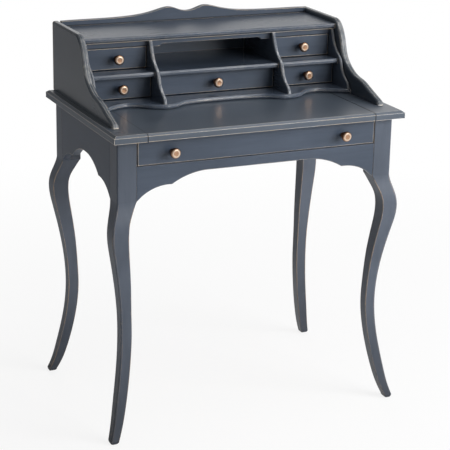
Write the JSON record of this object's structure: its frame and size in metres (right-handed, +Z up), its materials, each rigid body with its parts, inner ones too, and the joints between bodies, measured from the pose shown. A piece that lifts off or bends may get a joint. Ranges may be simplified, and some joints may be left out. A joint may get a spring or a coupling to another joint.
{
  "type": "writing desk",
  "caption": "Writing desk on curved legs with a scalloped apron, a sliding writing leaf, a long drawer, and a gallery of small drawers with a pigeonhole under a crested back.",
  "frame": {"origin": "on the floor, under the middle of the top", "axes": "+X to the right of a person sitting at the desk, +Y towards the back, +Z up"},
  "size_m": [0.792, 0.518, 0.9862],
  "materials": {
    "painted_wood": "satin slate-blue paint, rubbed through along the edges",
    "bare_wood": "planed, oiled",
    "copper": "aged copper, polished on the crowns",
    "steel": "zinc plated"
  },
  "bodies": {
    "desk": {"back_board": "painted_wood", "back_panel": "painted_wood", "base_shelf": "painted_wood", "centre_mid_shelf": "painted_wood", "corner_blocks": "bare_wood", "drawer_runners": "bare_wood", "drawer_top_rails": "painted_wood", "front_apron": "painted_wood", "front_left_leg": "painted_wood", "front_right_leg": "painted_wood", "gallery_dowels": "bare_wood", "kickers": "bare_wood", "left_divider": "painted_wood", "left_gable": "painted_wood", "left_inner_panel": "painted_wood", "left_mid_shelf": "painted_wood", "left_side_apron": "painted_wood", "pigeonhole_valance": "painted_wood", "rear_left_leg": "painted_wood", "rear_right_leg": "painted_wood", "right_divider": "painted_wood", "right_gable": "painted_wood", "right_inner_panel": "painted_wood", "right_mid_shelf": "painted_wood", "right_side_apron": "painted_wood", "top_left_rail": "painted_wood", "top_rear_rail": "painted_wood", "top_right_rail": "painted_wood", "top_screws": "steel", "upper_shelf": "painted_wood"},
    "centre_drawer": {"centre_drawer_box": "bare_wood", "centre_drawer_front": "painted_wood", "centre_drawer_knob": "copper", "centre_drawer_knob_screw": "steel"},
    "lower_left_drawer": {"lower_left_drawer_box": "bare_wood", "lower_left_drawer_front": "painted_wood", "lower_left_drawer_knob": "copper", "lower_left_drawer_knob_screw": "steel"},
    "lower_right_drawer": {"lower_right_drawer_box": "bare_wood", "lower_right_drawer_front": "painted_wood", "lower_right_drawer_knob": "copper", "lower_right_drawer_knob_screw": "steel"},
    "main_drawer": {"main_drawer_back": "bare_wood", "main_drawer_bottom": "bare_wood", "main_drawer_front": "painted_wood", "main_drawer_knob_screws": "steel", "main_drawer_knobs": "copper", "main_drawer_sides": "bare_wood"},
    "upper_left_drawer": {"upper_left_drawer_box": "bare_wood", "upper_left_drawer_front": "painted_wood", "upper_left_drawer_knob": "copper", "upper_left_drawer_knob_screw": "steel"},
    "upper_right_drawer": {"upper_right_drawer_box": "bare_wood", "upper_right_drawer_front": "painted_wood", "upper_right_drawer_knob": "copper", "upper_right_drawer_knob_screw": "steel"},
    "writing_leaf": {"writing_leaf": "painted_wood"}
  },
  "joints": [
    {"name": "main_drawer_slide", "type": "slide", "parent": "desk", "child": "main_drawer", "axis": [0, -1, 0], "range_m": [0, 0.3]},
    {"name": "writing_leaf_slide", "type": "slide", "parent": "desk", "child": "writing_leaf", "axis": [0, -1, 0], "range_m": [0, 0.17]},
    {"name": "upper_left_drawer_slide", "type": "slide", "parent": "desk", "child": "upper_left_drawer", "axis": [0, -1, 0], "range_m": [0, 0.115]},
    {"name": "lower_left_drawer_slide", "type": "slide", "parent": "desk", "child": "lower_left_drawer", "axis": [0, -1, 0], "range_m": [0, 0.145]},
    {"name": "centre_drawer_slide", "type": "slide", "parent": "desk", "child": "centre_drawer", "axis": [0, -1, 0], "range_m": [0, 0.145]},
    {"name": "lower_right_drawer_slide", "type": "slide", "parent": "desk", "child": "lower_right_drawer", "axis": [0, -1, 0], "range_m": [0, 0.145]},
    {"name": "upper_right_drawer_slide", "type": "slide", "parent": "desk", "child": "upper_right_drawer", "axis": [0, -1, 0], "range_m": [0, 0.115]}
  ]
}
